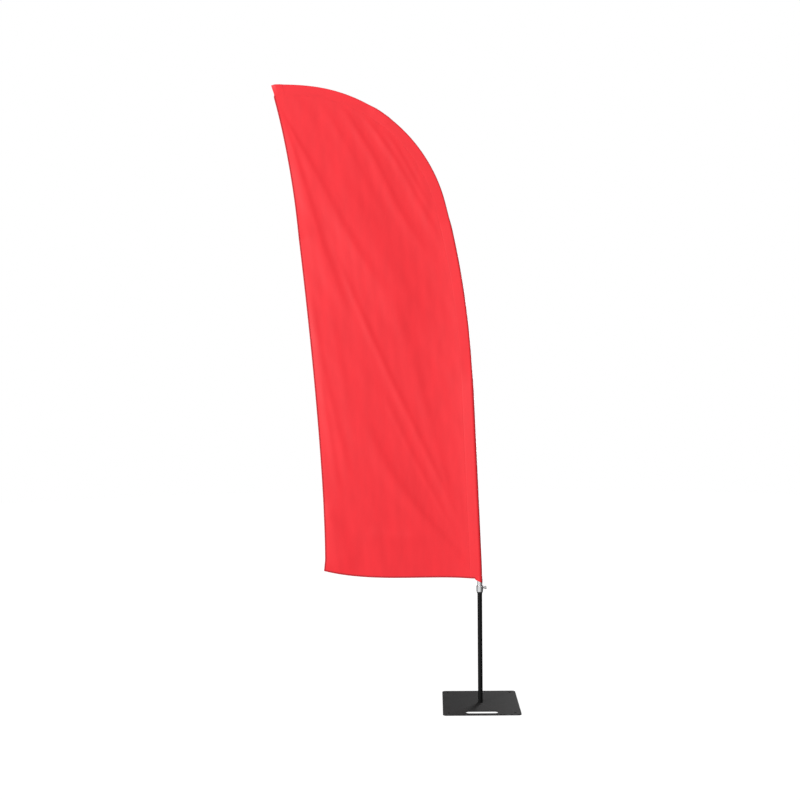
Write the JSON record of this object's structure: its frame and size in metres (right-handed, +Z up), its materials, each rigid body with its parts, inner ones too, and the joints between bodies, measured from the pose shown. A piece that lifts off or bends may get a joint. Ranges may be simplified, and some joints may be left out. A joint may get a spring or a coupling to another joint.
{
  "type": "feather flag",
  "caption": "Free-standing feather flag: a curved red cloth on a bent mast that turns on bearings in a black post, which stands on a flat steel plate with a hand slot.",
  "frame": {"origin": "on the floor, at the centre of the base plate's underside, under the axis of the post", "axes": "+Z up along the post and the turning axis; the flag streams towards -X; the hand slot is towards -Y"},
  "size_m": [1.2841, 0.4, 3.2773],
  "materials": {
    "powder_black": "satin",
    "stub_black": "satin",
    "zinc_screw": "satin",
    "post_black": "gloss",
    "housing_black": "satin",
    "bearing_steel": "gloss",
    "ball_steel": "polished",
    "cage_brass": "satin",
    "turned_steel": "satin",
    "spring_steel": "satin",
    "collar_chrome": "polished",
    "pad_nylon": "matte",
    "screw_aluminium": "satin",
    "mast_aluminium": "satin",
    "ferrule_black": "satin",
    "ferrule_metal": "satin",
    "fibre_black": "satin",
    "cap_rubber": "matte",
    "flag_red": "matte",
    "strap_dark": "matte"
  },
  "bodies": {
    "base": {"base_plate": "powder_black", "stub_spigot": "stub_black", "stub_screw": "zinc_screw"},
    "post": {"post_tube": "post_black", "bearing_housing": "housing_black", "bearing_outer_rings": "bearing_steel", "bearing_spacer": "turned_steel"},
    "ball_cage": {"bearing_cages": "cage_brass", "bearing_balls": "ball_steel"},
    "rotor": {"rotor_spindle": "turned_steel", "bearing_inner_rings": "bearing_steel", "retaining_ring": "spring_steel"},
    "mast": {"clamp_collar": "collar_chrome", "mast_lower_tube": "mast_aluminium", "lower_ferrule": "ferrule_black", "mast_middle_tube": "fibre_black", "middle_bush": "ferrule_black", "middle_collar": "ferrule_black", "mast_upper_rod": "fibre_black", "tip_ferrule": "ferrule_metal", "mast_tip_rod": "fibre_black", "tip_cap": "cap_rubber", "pole_sleeve": "flag_red", "tip_pocket": "flag_red", "sleeve_cuff": "flag_red", "tension_strap": "strap_dark", "flag_panel": "flag_red"},
    "screw_travel": {"screw_pad": "pad_nylon"},
    "thumb_screw": {"thumb_screw": "screw_aluminium"}
  },
  "joints": [
    {"name": "post_lift", "type": "slide", "parent": "base", "child": "post", "axis": [0, 0, 1], "range_m": [0, 0.09]},
    {"name": "mast_spin", "type": "hinge", "parent": "post", "child": "rotor", "pos_m": [0, 0, 0.56], "axis": [0, 0, 1], "continuous": true},
    {"name": "cage_spin", "type": "hinge", "parent": "post", "child": "ball_cage", "pos_m": [0, 0, 0.56], "axis": [0, 0, 1], "continuous": true},
    {"name": "mast_lift", "type": "slide", "parent": "rotor", "child": "mast", "axis": [0, 0, 1], "range_m": [0, 0.055]},
    {"name": "screw_travel", "type": "slide", "parent": "mast", "child": "screw_travel", "axis": [1, 0, 0], "range_m": [0, 0.004]},
    {"name": "screw_turn", "type": "hinge", "parent": "screw_travel", "child": "thumb_screw", "pos_m": [0.03, 0, 0.61206], "axis": [1, 0, 0], "range_deg": [0, 1440]}
  ],
  "couplings": [
    {"joint": "cage_spin", "follows": "mast_spin", "ratio": 0.3593},
    {"joint": "screw_travel", "follows": "screw_turn", "m_per_rad": 0.00015915}
  ]
}
